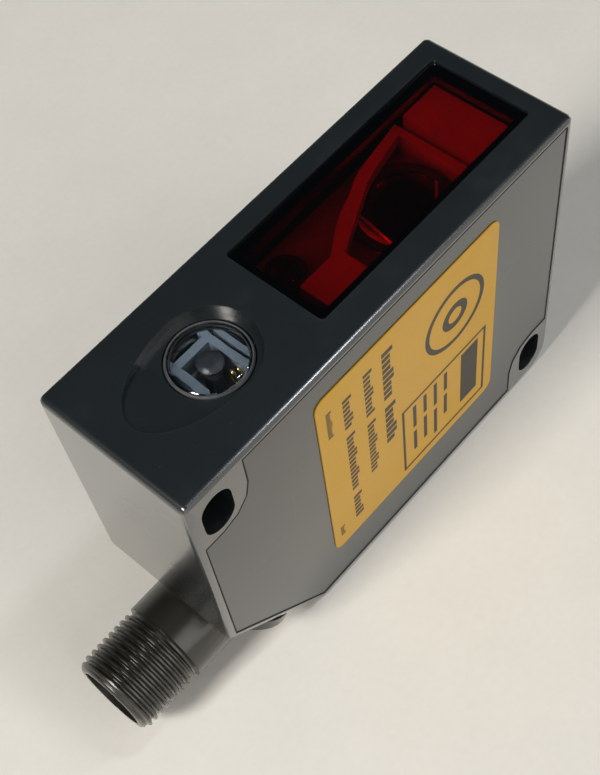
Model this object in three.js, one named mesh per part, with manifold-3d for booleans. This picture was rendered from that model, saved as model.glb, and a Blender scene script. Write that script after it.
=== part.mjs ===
// Laser distance sensor: die-cast housing with a filter window, a teach button
// and a plug that swivels on the cut-off corner.
// Millimetres. +Z is the optics face, the sensor stands on Z = 0,
// +X runs along the length away from the plug, the cover is on the -Y side.
import * as THREE from 'three';
import { mergeVertices } from 'three/addons/utils/BufferGeometryUtils.js';
import Module from 'manifold-3d';

const wasm = await Module();
wasm.setup();

// ---- driving dimensions -------------------------------------------------
const BODY = { length: 65, width: 21.5, height: 50, edge: 0.7 };
const CUT_LEG = 15.2;
const FOOT_RADIUS = 4;
const WALL = { end: 2.2, top: 3, bottom: 2, back: 2, cut: 3.2 };
const COVER = { thick: 1.5, rim: 1.1, gap: 0.12, seal: 0.3 };
const SLOT = { width: 4.4, height: 7, lug: 4.5 };
const SLOT_PLACES = [[-28.5, 44.2], [28, 5.7]];
const WINDOW = { x: 11.5, y: 0.5, length: 36.4, width: 14.3, sunk: 0.35, thick: 1.5, ledge: 0.9 };
const BUTTON = { x: -17.2, y: 0.3, radius: 4.95, travel: 0.4, top: 49.3 };
const SCOOP = { radius: 6.05, floor: 48.75, reach: 11.4 };
const LABEL = { x: 2.6, z: 27.1, length: 32.3, height: 36.3, thick: 0.12 };
const SWIVEL = { y: -1.75, neck: 6.2, flange: 8.9, proud: 1.7, bore: 3.4 };
const PLUG = { z: 8.3, radius: 6, threadStart: -36.7, end: -46.3, pitch: 1, crest: 5.9, root: 5.35 };
const PIN = { radius: 0.5, circle: 2.5, tip: -45.4, tail: -35.6 };
const LENS = { x: 14.2, y: -0.3, radius: 6.1, z: 42.2 };
const BARREL = { x: -1.6, y: 4, radius: 2.6, bottom: 27, top: 43.6 };

const HALF_L = BODY.length / 2;
const HALF_W = BODY.width / 2;
const COVER_INNER_Y = -HALF_W + COVER.thick;
const LEDGE_Y = COVER_INNER_Y + COVER.seal;
const CAVITY_BACK_Y = HALF_W - WALL.back;
const CAVITY_TOP = BODY.height - WALL.top;

// ---- solids -------------------------------------------------------------
function toSolid(geometry) {
  const bare = new THREE.BufferGeometry();
  const source = geometry.index ? geometry.toNonIndexed() : geometry;
  bare.setAttribute('position', source.getAttribute('position').clone());
  const merged = mergeVertices(bare, 1e-4);
  const mesh = new wasm.Mesh({
    numProp: 3,
    vertProperties: new Float32Array(merged.getAttribute('position').array),
    triVerts: new Uint32Array(merged.index.array),
  });
  return new wasm.Manifold(mesh);
}

function toGeometry(solid) {
  const mesh = solid.getMesh();
  const geometry = new THREE.BufferGeometry();
  geometry.setAttribute('position', new THREE.BufferAttribute(new Float32Array(mesh.vertProperties), 3));
  geometry.setIndex(new THREE.BufferAttribute(new Uint32Array(mesh.triVerts), 1));
  geometry.computeVertexNormals();
  return geometry;
}

const join = (...solids) => solids.reduce((a, b) => a.add(b));
const cut = (base, ...tools) => tools.reduce((a, b) => a.subtract(b), base);

function box(x0, x1, y0, y1, z0, z1) {
  const geometry = new THREE.BoxGeometry(x1 - x0, y1 - y0, z1 - z0);
  geometry.translate((x0 + x1) / 2, (y0 + y1) / 2, (z0 + z1) / 2);
  return toSolid(geometry);
}

function upright(radius, z0, z1, x, y, segments = 26) {
  const geometry = new THREE.CylinderGeometry(radius, radius, z1 - z0, segments);
  geometry.rotateX(Math.PI / 2);
  geometry.translate(x, y, (z0 + z1) / 2);
  return toSolid(geometry);
}

function alongX(radius, x0, x1, y, z, segments = 32) {
  const geometry = new THREE.CylinderGeometry(radius, radius, x1 - x0, segments);
  geometry.rotateZ(Math.PI / 2);
  geometry.translate((x0 + x1) / 2, y, z);
  return toSolid(geometry);
}

// A flat outline drawn in X and Z, as thick as the span of Y.
function sideways(shape, y0, y1, edge = 0) {
  const geometry = new THREE.ExtrudeGeometry(shape, {
    depth: y1 - y0 - 2 * edge,
    bevelEnabled: edge > 0,
    bevelSize: edge,
    bevelThickness: edge,
    bevelOffset: -edge,
    bevelSegments: 2,
    curveSegments: 6,
  });
  geometry.rotateX(Math.PI / 2);
  geometry.translate(0, y1 - edge, 0);
  return toSolid(geometry);
}

// A flat outline drawn in X and Y, as tall as the span of Z.
function upwards(shape, z0, z1, segments = 8) {
  const geometry = new THREE.ExtrudeGeometry(shape, {
    depth: z1 - z0,
    bevelEnabled: false,
    curveSegments: segments,
  });
  geometry.translate(0, 0, z0);
  return toSolid(geometry);
}

function turned(points, segments = 48) {
  const profile = points.map(([radius, height]) => new THREE.Vector2(radius, height));
  return new THREE.LatheGeometry(profile, segments);
}

// ---- outlines -----------------------------------------------------------
// The body seen from the cover side, moved inwards by a different amount on each side.
function bodyOutline(end, top, bottom, corner) {
  const x0 = -HALF_L + end;
  const x1 = HALF_L - end;
  const z0 = bottom;
  const z1 = BODY.height - top;
  const sum = CUT_LEG + corner * Math.SQRT2 - HALF_L;
  const foot = Math.max(FOOT_RADIUS - end, 0.8);
  const soft = Math.max(0.9 - end, 0.3);
  const shape = new THREE.Shape();
  shape.moveTo(sum - z0, z0);
  shape.lineTo(x1 - foot, z0);
  shape.absarc(x1 - foot, z0 + foot, foot, -Math.PI / 2, 0, false);
  shape.absarc(x1 - soft, z1 - soft, soft, 0, Math.PI / 2, false);
  shape.absarc(x0 + soft, z1 - soft, soft, Math.PI / 2, Math.PI, false);
  shape.lineTo(x0, sum - x0);
  return shape;
}

function evenOutline(inset) {
  return bodyOutline(inset, inset, inset, inset);
}

function roundedRect(width, height, radius, x = 0, y = 0) {
  const a = width / 2 - radius;
  const b = height / 2 - radius;
  const shape = new THREE.Shape();
  shape.absarc(x + a, y - b, radius, -Math.PI / 2, 0, false);
  shape.absarc(x + a, y + b, radius, 0, Math.PI / 2, false);
  shape.absarc(x - a, y + b, radius, Math.PI / 2, Math.PI, false);
  shape.absarc(x - a, y - b, radius, Math.PI, Math.PI * 1.5, false);
  return shape;
}

function slotOutline(x, z, grow = 0) {
  const radius = SLOT.width / 2 + grow;
  const half = (SLOT.height - SLOT.width) / 2;
  const shape = new THREE.Shape();
  shape.absarc(x, z + half, radius, 0, Math.PI, false);
  shape.absarc(x, z - half, radius, Math.PI, Math.PI * 2, false);
  return shape;
}

function disc(x, z, radius) {
  const shape = new THREE.Shape();
  shape.absarc(x, z, radius, 0, Math.PI * 2, false);
  return shape;
}

// Everything that is round about the swivel is drawn upright and then tipped onto the cut corner.
const CORNER = new THREE.Vector3(-HALF_L + CUT_LEG / 2, SWIVEL.y, CUT_LEG / 2);
const OUTWARD = new THREE.Vector3(-1, 0, -1).normalize();

function ontoCorner(geometry) {
  const turn = new THREE.Quaternion().setFromUnitVectors(new THREE.Vector3(0, 1, 0), OUTWARD);
  geometry.applyQuaternion(turn);
  geometry.translate(CORNER.x, CORNER.y, CORNER.z);
  return toSolid(geometry);
}

function cornerDisc(radius, from, to, segments = 40) {
  const geometry = new THREE.CylinderGeometry(radius, radius, to - from, segments);
  geometry.translate(0, (from + to) / 2, 0);
  return ontoCorner(geometry);
}

// A big block that keeps only what lies beyond a given height over the cut corner.
function beyondCorner(from) {
  const geometry = new THREE.BoxGeometry(60, 60, 60);
  geometry.translate(0, from + 30, 0);
  return ontoCorner(geometry);
}

// ---- housing ------------------------------------------------------------
// A corner post: round towards the middle of the body, square towards its own corner.
function lug([x, z], y0, y1, radius) {
  const endX = Math.sign(x) * (HALF_L + 1);
  const endZ = z > BODY.height / 2 ? BODY.height + 1 : -1;
  const span = (a, b) => [Math.min(a, b), Math.max(a, b)];
  return join(
    sideways(disc(x, z, radius), y0, y1),
    box(...span(x, endX), y0, y1, ...span(z - Math.sign(endZ) * radius, endZ)),
    box(...span(x - Math.sign(endX) * radius, endX), y0, y1, ...span(z, endZ)),
  );
}

function lugs(y0, y1, radius) {
  return join(...SLOT_PLACES.map((place) => lug(place, y0, y1, radius)));
}

function scoop() {
  const tip = BUTTON.x - SCOOP.reach;
  const outline = new THREE.Shape();
  outline.moveTo(BUTTON.x, BUTTON.y - SCOOP.radius);
  outline.absarc(BUTTON.x, BUTTON.y, SCOOP.radius, -Math.PI / 2, Math.PI / 2, false);
  outline.absellipse(
    BUTTON.x, BUTTON.y, SCOOP.reach, SCOOP.radius, Math.PI / 2, (Math.PI * 3) / 2, false, 0,
  );
  const ramp = new THREE.Shape();
  ramp.moveTo(tip, BODY.height - 0.12);
  ramp.lineTo(BUTTON.x - SCOOP.radius + 1.2, SCOOP.floor);
  ramp.lineTo(BUTTON.x + SCOOP.radius + 2, SCOOP.floor);
  ramp.lineTo(BUTTON.x + SCOOP.radius + 2, BODY.height + 2);
  ramp.lineTo(tip - 1, BODY.height + 2);
  ramp.lineTo(tip - 1, BODY.height - 0.05);
  return upwards(outline, 46, 53, 20).intersect(sideways(ramp, -9, 9));
}

function housing() {
  const { x, y, length, width, sunk, thick, ledge } = WINDOW;
  const pocketFloor = BODY.height - sunk - thick - 0.3;
  const outer = sideways(evenOutline(0), -HALF_W, HALF_W, BODY.edge);
  const rebate = sideways(evenOutline(COVER.rim), -HALF_W - 1, LEDGE_Y).subtract(
    lugs(-HALF_W - 2, LEDGE_Y + 1, SLOT.lug),
  );
  const cavityOutline = bodyOutline(WALL.end, WALL.top, WALL.bottom, WALL.cut);
  const cavity = sideways(cavityOutline, LEDGE_Y - 1, CAVITY_BACK_Y).subtract(
    lugs(-HALF_W - 2, HALF_W, SLOT.lug + 1.3),
  );
  const pocket = upwards(roundedRect(length, width, 0.6, x, y), pocketFloor, 52);
  const opening = upwards(roundedRect(length - 2 * ledge, width - 2 * ledge, 0.6, x, y), 44, 52);
  const slots = SLOT_PLACES.map(([sx, sz]) => sideways(slotOutline(sx, sz), -HALF_W - 1, HALF_W + 1));
  return cut(
    outer,
    rebate,
    cavity,
    pocket,
    opening,
    scoop(),
    upright(BUTTON.radius + 0.2, 45, 51, BUTTON.x, BUTTON.y, 40),
    cornerDisc(SWIVEL.neck + 0.15, -WALL.cut - 2, 1),
    ...slots,
  );
}

function coverPlate(inset, lugGap, y0, y1) {
  return sideways(evenOutline(inset), y0, y1).subtract(lugs(y0 - 1, y1 + 1, SLOT.lug + lugGap));
}

function sideCover() {
  return coverPlate(COVER.rim + COVER.gap, COVER.gap, -HALF_W + 0.05, COVER_INNER_Y);
}

function coverSeal() {
  const y0 = COVER_INNER_Y + 0.02;
  const y1 = LEDGE_Y - 0.02;
  return coverPlate(1.35, 0.3, y0, y1).subtract(coverPlate(2.1, 1.1, y0 - 1, y1 + 1));
}

// ---- window and optics ----------------------------------------------------
function windowPane() {
  const outline = roundedRect(WINDOW.length - 0.3, WINDOW.width - 0.3, 0.5, WINDOW.x, WINDOW.y);
  const top = BODY.height - WINDOW.sunk;
  return upwards(outline, top - WINDOW.thick, top);
}

function windowSeal() {
  const top = BODY.height - WINDOW.sunk - WINDOW.thick - 0.02;
  const outer = roundedRect(WINDOW.length - 0.4, WINDOW.width - 0.4, 0.5, WINDOW.x, WINDOW.y);
  const inner = roundedRect(WINDOW.length - 1.7, WINDOW.width - 1.7, 0.5, WINDOW.x, WINDOW.y);
  return upwards(outer, top - 0.26, top).subtract(upwards(inner, top - 1, top + 1));
}

function opticsCarrier() {
  const z = LENS.z - 1.6;
  const plate = box(-4.6, 29, -7.6, 8.2, z, z + 1.5);
  const farBlock = box(22.8, 28.8, -5.4, 6.6, z + 0.5, 46.4);
  const nearBlock = box(-3.2, 3.4, -5.9, 0.1, z + 0.5, 46);
  const crossBar = box(20.9, 22, -6.6, 7.2, z + 0.5, 45.2);
  const lensSeat = [
    upright(LENS.radius + 0.75, z + 0.6, 50, LENS.x, LENS.y, 36),
    upright(LENS.radius - 0.6, z - 1, z + 2, LENS.x, LENS.y, 36),
    upright(BARREL.radius + 0.1, z - 1, 50, BARREL.x, BARREL.y),
  ];
  const strip = new THREE.Shape();
  strip.moveTo(1.2, -0.4);
  strip.splineThru([[6.4, 2.9], [10.4, 4.4], [13.6, 5.7], [21.6, 7]].map(([u, v]) => new THREE.Vector2(u, v)));
  strip.lineTo(21.6, 5.8);
  strip.splineThru([[14, 4.2], [10.5, 2.7], [6.5, 0.8], [3, -1]].map(([u, v]) => new THREE.Vector2(u, v)));
  return join(
    cut(join(plate, farBlock, nearBlock, crossBar), ...lensSeat),
    upwards(strip, z + 3.4, 45.6, 6),
  );
}

function receiverLens() {
  const { radius, x, y, z } = LENS;
  const points = [[0, -1.0], [radius, -1.0], [radius, 0], [radius - 0.45, 0]];
  const steps = 8;
  for (let i = 1; i <= steps; i += 1) {
    const reach = (radius - 0.5) * Math.cos((i / steps) * Math.PI / 2);
    points.push([i === steps ? 0 : reach, 0.1 + 2.1 * Math.sin((i / steps) * Math.PI / 2)]);
  }
  const geometry = turned(points, 32);
  geometry.rotateX(Math.PI / 2);
  geometry.translate(x, y, z + 0.05);
  return toSolid(geometry);
}

function lensRing() {
  const { radius, x, y, z } = LENS;
  return cut(
    upright(radius + 0.55, z + 0.1, z + 0.9, x, y, 32),
    upright(radius - 0.35, z - 1, z + 2, x, y, 32),
  );
}

function laserBarrel() {
  const { x, y, radius, bottom, top } = BARREL;
  return cut(
    join(upright(radius, bottom, top, x, y), upright(radius + 0.9, LENS.z - 3.2, LENS.z - 1.7, x, y)),
    upright(radius - 0.6, top - 1.4, top + 1, x, y),
    upright(1.5, bottom + 2, top, x, y),
    upright(radius - 0.5, bottom - 1, bottom + 2.4, x, y),
  );
}

function emitterLens() {
  const { x, y, radius, top } = BARREL;
  const r = radius - 0.65;
  const geometry = turned([[0, 0], [r, 0], [r, 0.5], [r * 0.75, 0.85], [r * 0.4, 1.05], [0, 1.12]], 20);
  geometry.rotateX(Math.PI / 2);
  geometry.translate(x, y, top - 1.38);
  return toSolid(geometry);
}

function laserDiode() {
  const { x, y, radius, bottom } = BARREL;
  const pins = [-0.8, 0, 0.8].map((dx) => upright(0.22, bottom - 2.4, bottom + 0.7, x + dx, y, 12));
  return join(
    upright(radius - 0.55, bottom + 0.5, bottom + 1.3, x, y),
    upright(1.35, bottom + 1.2, bottom + 4, x, y),
    ...pins,
  );
}

// ---- boards -----------------------------------------------------------------
const BOARD = { y0: 7.2, y1: 8.4 };

function mainBoard() {
  const shape = new THREE.Shape();
  shape.moveTo(-10, 5);
  shape.lineTo(21, 5);
  shape.lineTo(21, 12);
  shape.lineTo(29, 12);
  shape.lineTo(29, 38);
  shape.lineTo(-27, 38);
  shape.lineTo(-27, 22);
  return sideways(shape, BOARD.y0, BOARD.y1);
}

function onBoard(x, z, width, height, thick) {
  const y1 = BOARD.y0 - 0.02;
  return box(x - width / 2, x + width / 2, y1 - thick, y1, z - height / 2, z + height / 2);
}

function detectorBoard() {
  return box(6, 25, -6.5, 6.2, 20, 21.2);
}

function imageSensor() {
  return join(box(9.5, 19.5, -3.2, 2.6, 21.22, 22.6), box(10.5, 18.5, -1.3, 0.7, 22.5, 22.9));
}

function detectorFlex() {
  const bend = new THREE.Shape();
  bend.moveTo(6.25, 20.6);
  bend.lineTo(6.9, 20.6);
  bend.lineTo(6.9, 20.8);
  bend.lineTo(6.45, 20.8);
  bend.lineTo(6.45, 24.2);
  bend.lineTo(6.25, 24.2);
  const geometry = new THREE.ExtrudeGeometry(bend, { depth: 12, bevelEnabled: false });
  geometry.rotateX(Math.PI / 2);
  geometry.rotateZ(Math.PI / 2);
  geometry.translate(9, 0, 0);
  return toSolid(geometry);
}

// ---- button -------------------------------------------------------------------
function teachButton() {
  const { x, y, radius, top } = BUTTON;
  const dome = turned([
    [0, 45.9], [radius + 0.45, 45.9], [radius + 0.45, 46.8], [radius, 46.8], [radius, top - 0.45],
    [radius - 0.4, top - 0.08], [radius - 1.6, top], [0, top],
  ], 36);
  dome.rotateX(Math.PI / 2);
  dome.translate(x, y, 0);
  return join(
    cut(toSolid(dome), upright(radius - 0.6, 45, top - 0.95, x, y)),
    upright(0.8, 46.12 + BUTTON.travel, top - 0.5, x, y, 20),
  );
}

function buttonSeal() {
  const { x, y } = BUTTON;
  return cut(upright(5.4, 44.6, 45.4, x, y), upright(4.6, 44, 46, x, y));
}

function indicatorFrame() {
  const { x, y } = BUTTON;
  const leftBar = box(x - 3.2, x - 2.3, y - 5, y + 5, 42.52, 47.6);
  const rightBar = box(x + 1.85, x + 3.8, y - 5, y + 5, 42.52, 47.6);
  const groove = box(x + 2.75, x + 3.2, y - 6, y + 6, 46.4, 48);
  const bridge = box(x - 2.6, x + 2.4, y + 2.1, y + 3.1, 45, 47.6);
  return cut(join(leftBar, rightBar, bridge), groove).intersect(upright(4.2, 42, 48, x, y, 36));
}

function tactSwitch() {
  const { x, y } = BUTTON;
  return join(
    box(x - 1.7, x + 1.7, y - 1.7, y + 1.7, 42.52, 44.6),
    upright(0.95, 44.5, 46.1, x, y, 24),
  );
}

function statusLed(side) {
  const { x, y } = BUTTON;
  const c = y + side * 3.2;
  return box(x - 0.9, x + 0.9, c - 0.5, c + 0.5, 42.52, 43.4);
}

function buttonBoard() {
  return box(BUTTON.x - 5.3, BUTTON.x + 9, BUTTON.y - 6.4, BUTTON.y + 6.4, 41.5, 42.5);
}

// ---- swivelling plug -------------------------------------------------------------
function swivelElbow() {
  const { neck, flange, proud, bore, y } = SWIVEL;
  const collar = ontoCorner(turned([
    [0, -4.4], [neck, -4.4], [neck, -4.1], [5.55, -4.1], [5.55, -3.45], [neck, -3.45],
    [neck, -2.45], [4.95, -2.45], [4.95, -0.95], [neck, -0.95], [neck, 0.15],
    [flange, 0.15], [flange, proud - 0.3], [flange - 0.3, proud], [0, proud],
  ], 44));
  const shank = alongX(PLUG.radius, PLUG.threadStart, -20, y, PLUG.z, 40).intersect(beyondCorner(0.4));
  const run = alongX(bore, -35, -20, y, PLUG.z).intersect(beyondCorner(0.8));
  return cut(
    join(collar, shank),
    cornerDisc(bore, -6, 2.2),
    run,
    alongX(5, PLUG.threadStart - 1, -34, y, PLUG.z, 36),
  );
}

function swivelSeal() {
  const ring = new THREE.TorusGeometry(5.66, 0.62, 8, 28);
  ring.rotateX(Math.PI / 2);
  ring.translate(0, -1.7, 0);
  return ontoCorner(ring);
}

function swivelRetainer() {
  const gap = ontoCorner(new THREE.BoxGeometry(3, 4, 3).translate(6.5, -3.8, 0));
  return cut(cornerDisc(7, -4.05, -3.5), cornerDisc(5.6, -5, -3), gap);
}

function connectorShell() {
  const turns = Math.floor(PLUG.threadStart - 0.5 - (PLUG.end + 0.6));
  const length = PLUG.threadStart - PLUG.end;
  const start = (length - turns * PLUG.pitch) - 0.5;
  const points = [[4.45, 0], [5.2, 0], [PLUG.root, 0.3]];
  for (let i = 0; i < turns; i += 1) {
    const at = start + i * PLUG.pitch;
    points.push([PLUG.root, at + 0.1]);
    points.push([PLUG.crest, at + 0.42]);
    points.push([PLUG.crest, at + 0.58]);
    points.push([PLUG.root, at + 0.9]);
  }
  points.push([PLUG.root, length - 0.25]);
  points.push([PLUG.crest, length - 0.02]);
  points.push([4.95, length - 0.02]);
  points.push([4.95, length + 2.5]);
  points.push([4.45, length + 2.5]);
  points.push([4.45, 0]);
  const geometry = turned(points, 32);
  geometry.rotateZ(-Math.PI / 2);
  geometry.translate(PLUG.end, SWIVEL.y, PLUG.z);
  const key = box(PLUG.end + 0.6, PLUG.end + 4.5, SWIVEL.y - 0.6, SWIVEL.y + 0.6, PLUG.z + 4, PLUG.z + 4.8);
  return toSolid(geometry).add(key);
}

function pinPlaces() {
  const places = [[0, 0]];
  for (let i = 0; i < 4; i += 1) {
    const angle = Math.PI / 4 + (i * Math.PI) / 2;
    places.push([PIN.circle * Math.cos(angle), PIN.circle * Math.sin(angle)]);
  }
  return places.map(([dy, dz]) => [SWIVEL.y + dy, PLUG.z + dz]);
}

function contactPin([y, z]) {
  const geometry = turned([
    [0, 0], [0.2, 0], [PIN.radius, 0.5], [PIN.radius, PIN.tail - PIN.tip], [0, PIN.tail - PIN.tip],
  ], 10);
  geometry.rotateZ(-Math.PI / 2);
  geometry.translate(PIN.tip, y, z);
  return toSolid(geometry);
}

function connectorInsert() {
  const holes = pinPlaces().map(([y, z]) => alongX(PIN.radius + 0.03, -50, -30, y, z, 12));
  return cut(alongX(4.4, -41.2, -36.6, SWIVEL.y, PLUG.z), ...holes);
}

function wireLoom() {
  const path = new THREE.CatmullRomCurve3([
    new THREE.Vector3(-19.6, 3.4, 13.8),
    new THREE.Vector3(-17.4, 4.4, 17),
    new THREE.Vector3(-16.4, 4.8, 21),
    new THREE.Vector3(-16, 4.9, 25.6),
  ]);
  const section = new THREE.Shape();
  section.absarc(0, 0, 1, 0, Math.PI * 2, false);
  return toSolid(new THREE.ExtrudeGeometry(section, {
    steps: 8,
    curveSegments: 4,
    bevelEnabled: false,
    extrudePath: path,
  }));
}

// ---- assembly ------------------------------------------------------------------
const group = new THREE.Group();
group.name = 'laser_distance_sensor';

function add(name, solid, color, roughness, metalness = 0, opacity = 1) {
  const material = new THREE.MeshStandardMaterial({
    color,
    roughness,
    metalness,
    opacity,
    transparent: opacity < 1,
  });
  const mesh = new THREE.Mesh(toGeometry(solid), material);
  mesh.name = name;
  group.add(mesh);
}

add('housing', housing(), 0x232b2f, 0.35, 0.4);
add('side_cover', sideCover(), 0x2a3236, 0.38, 0.4);
add('cover_seal', coverSeal(), 0x101214, 0.85);
add('label', sideways(
  roundedRect(LABEL.length, LABEL.height, 1.6, LABEL.x, LABEL.z),
  -HALF_W - LABEL.thick + 0.03,
  -HALF_W + 0.03,
), 0xe0a814, 0.5);
add('window_pane', windowPane(), 0x7a0c10, 0.05, 0, 0.6);
add('window_seal', windowSeal(), 0x0c0c0c, 0.8);
add('optics_carrier', opticsCarrier(), 0x8a8a86, 0.6);
add('receiver_lens', receiverLens(), 0xbfc8cc, 0.05, 0, 0.6);
add('lens_ring', lensRing(), 0x17181a, 0.5);
add('laser_barrel', laserBarrel(), 0x3c4043, 0.35, 0.9);
add('emitter_lens', emitterLens(), 0xc8d2d6, 0.05, 0, 0.6);
add('laser_diode', laserDiode(), 0xb99a4a, 0.3, 1);
add('image_sensor', imageSensor(), 0x1a1b1f, 0.4);
add('detector_board', detectorBoard(), 0x14492c, 0.5);
add('main_board', mainBoard(), 0x14492c, 0.5);
add('detector_flex', detectorFlex(), 0xb0702a, 0.5);
add('processor_chip', onBoard(0, 21, 9, 9, 1.2), 0x151618, 0.45);
add('memory_chip', onBoard(-8, 33, 6, 5, 1), 0x151618, 0.45);
add('power_inductor', onBoard(-6, 12.5, 6, 6, 3), 0x2c2c2e, 0.6);
add('filter_capacitor', onBoard(4, 12, 3.4, 5.6, 2.4), 0xc58a3c, 0.5);
add('loom_header', onBoard(-16, 28, 8, 4, 3.2), 0xe6e0cf, 0.5);
add('teach_button', teachButton(), 0xaab4b8, 0.08, 0, 0.5);
add('button_seal', buttonSeal(), 0x121212, 0.85);
add('indicator_frame', indicatorFrame(), 0x8f999c, 0.5);
add('tact_switch', tactSwitch(), 0x1b1c1f, 0.4);
add('status_led_ready', statusLed(-1), 0xd9b24a, 0.3);
add('status_led_output', statusLed(1), 0xe8e4c8, 0.3);
add('button_board', buttonBoard(), 0x14492c, 0.5);
add('swivel_elbow', swivelElbow(), 0x1d1e1a, 0.3, 0.7);
add('swivel_seal', swivelSeal(), 0x0c0c0c, 0.85);
add('swivel_retainer', swivelRetainer(), 0x8c9094, 0.3, 1);
add('connector_shell', connectorShell(), 0x22231e, 0.35, 0.8);
add('connector_insert', connectorInsert(), 0x111111, 0.6);
pinPlaces().forEach((place, index) => {
  add(`contact_pin_${index + 1}`, contactPin(place), 0xd1a84a, 0.25, 1);
});
add('wire_loom', wireLoom(), 0x6b4a2c, 0.6);

export default group;
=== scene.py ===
import math

import bmesh
import bpy
from bpy.props import FloatProperty, FloatVectorProperty, IntProperty, PointerProperty
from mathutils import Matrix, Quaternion, Vector


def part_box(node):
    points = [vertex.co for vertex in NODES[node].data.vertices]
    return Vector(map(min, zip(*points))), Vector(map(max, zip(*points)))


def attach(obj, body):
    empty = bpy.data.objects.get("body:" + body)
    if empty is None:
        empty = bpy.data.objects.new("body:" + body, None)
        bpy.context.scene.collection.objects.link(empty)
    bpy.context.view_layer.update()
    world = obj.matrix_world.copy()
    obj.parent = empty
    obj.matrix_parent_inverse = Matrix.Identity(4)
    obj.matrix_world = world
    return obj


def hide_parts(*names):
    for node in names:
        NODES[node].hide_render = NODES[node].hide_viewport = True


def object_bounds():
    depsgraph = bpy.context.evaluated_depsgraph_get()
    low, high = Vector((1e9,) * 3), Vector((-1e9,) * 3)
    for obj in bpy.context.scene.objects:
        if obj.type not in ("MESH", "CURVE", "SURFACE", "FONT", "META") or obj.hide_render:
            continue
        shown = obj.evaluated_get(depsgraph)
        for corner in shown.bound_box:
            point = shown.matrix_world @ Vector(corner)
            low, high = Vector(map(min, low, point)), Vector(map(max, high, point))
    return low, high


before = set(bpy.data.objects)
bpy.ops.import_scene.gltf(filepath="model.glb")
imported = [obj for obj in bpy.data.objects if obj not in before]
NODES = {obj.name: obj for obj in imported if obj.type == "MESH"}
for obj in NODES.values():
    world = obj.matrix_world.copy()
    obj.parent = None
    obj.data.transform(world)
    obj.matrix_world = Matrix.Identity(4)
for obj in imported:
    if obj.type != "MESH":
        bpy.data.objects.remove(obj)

bl_info = {
    "name": "Laser Distance Sensor",
    "version": (1, 0, 0),
    "blender": (4, 5, 0),
    "location": "3D View > Sidebar > Sensor",
    "description": "Finishes and details a box-shaped laser distance sensor",
    "category": "Object",
}

MM = 0.001
CAD_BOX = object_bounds()
SHELL_LOW, SHELL_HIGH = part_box("connector_shell")
LABEL_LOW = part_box("label")[0]

EDGE_ANGLE = 32.0
WELD_DISTANCE = 0.001 * MM
RUBBED_PAINT = (0.10, 0.11, 0.115)
DUST_COLOUR = (0.30, 0.30, 0.28)


# ---- sizes and colours a user may change ---------------------------------

class SensorSizes(bpy.types.PropertyGroup):
    """Sizes of the detail laid over the frame."""

    thread_pitch: FloatProperty(
        name="Thread pitch", description="Distance from one crest to the next",
        default=1 * MM, unit="LENGTH")
    thread_depth: FloatProperty(
        name="Thread depth", description="Crest radius less root radius",
        default=0.45 * MM, unit="LENGTH")
    print_proud: FloatProperty(
        name="Print thickness", description="How far the ink stands on the label",
        default=0.02 * MM, unit="LENGTH")
    ring_radius: FloatProperty(
        name="Ring radius", description="Outer radius of the plain ring on the label",
        default=5.6 * MM, unit="LENGTH")


class SensorColours(bpy.types.PropertyGroup):
    """Base colours of the finishes."""

    paint: FloatVectorProperty(
        name="Paint", description="Housing and cover paint", subtype="COLOR",
        size=3, default=(0.0105, 0.0135, 0.0150))
    label: FloatVectorProperty(
        name="Label", description="Printed film", subtype="COLOR",
        size=3, default=(0.60, 0.32, 0.003))
    ink: FloatVectorProperty(
        name="Ink", description="Print on the label", subtype="COLOR",
        size=3, default=(0.035, 0.027, 0.016))
    filter: FloatVectorProperty(
        name="Filter", description="Red window", subtype="COLOR",
        size=3, default=(0.44, 0.022, 0.018))
    plug: FloatVectorProperty(
        name="Plug", description="Blackened plug metal", subtype="COLOR",
        size=3, default=(0.016, 0.0145, 0.010))


class StageSettings(bpy.types.PropertyGroup):
    """Camera and floor."""

    eye: FloatVectorProperty(
        name="Eye", description="Where the camera stands", subtype="TRANSLATION",
        size=3, default=(-0.06019, -0.06479, 0.16392))
    aim: FloatVectorProperty(
        name="Aim", description="Point the camera is turned to", subtype="TRANSLATION",
        size=3, default=(-0.00813, -0.00194, 0.025))
    roll: FloatProperty(
        name="Roll", description="Turn about the line of sight",
        default=math.radians(-10.4), subtype="ANGLE")
    lens: FloatProperty(
        name="Lens", description="Focal length in millimetres", default=60.85)
    floor_size: FloatProperty(
        name="Floor size", description="Side of the floor", default=3.0, unit="LENGTH")
    floor_cuts: IntProperty(
        name="Floor cuts", description="Squares along each side of the floor", default=8)


def settings():
    """The sensor's settings in this scene."""
    return bpy.context.scene.laser_sensor


class LaserSensor(bpy.types.PropertyGroup):
    """All settings of the sensor."""

    sizes: PointerProperty(type=SensorSizes)
    colours: PointerProperty(type=SensorColours)
    stage: PointerProperty(type=StageSettings)


# ---- shader node groups ----------------------------------------------------

def new_group(name, inputs, outputs):
    """An empty shader group with named sockets, its input node and its output node."""
    group = bpy.data.node_groups.new(name, "ShaderNodeTree")
    for label, kind, default in inputs:
        socket = group.interface.new_socket(label, in_out="INPUT", socket_type=kind)
        socket.default_value = default
    for label, kind in outputs:
        group.interface.new_socket(label, in_out="OUTPUT", socket_type=kind)
    start = group.nodes.new("NodeGroupInput")
    end = group.nodes.new("NodeGroupOutput")
    return group, start, end


def node(tree, kind, values=None, **settings_):
    """A node with its settings and constant inputs."""
    made = tree.nodes.new(kind)
    for key, value in settings_.items():
        setattr(made, key, value)
    for key, value in (values or {}).items():
        made.inputs[key].default_value = value
    return made


def wire(tree, *pairs):
    """Links each source socket to its target."""
    for source, target in pairs:
        tree.links.new(source, target)


def feed(tree, value, target):
    """Links a socket to the target, or sets the target to a constant."""
    if isinstance(value, bpy.types.NodeSocket):
        tree.links.new(value, target)
    else:
        target.default_value = value


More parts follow.
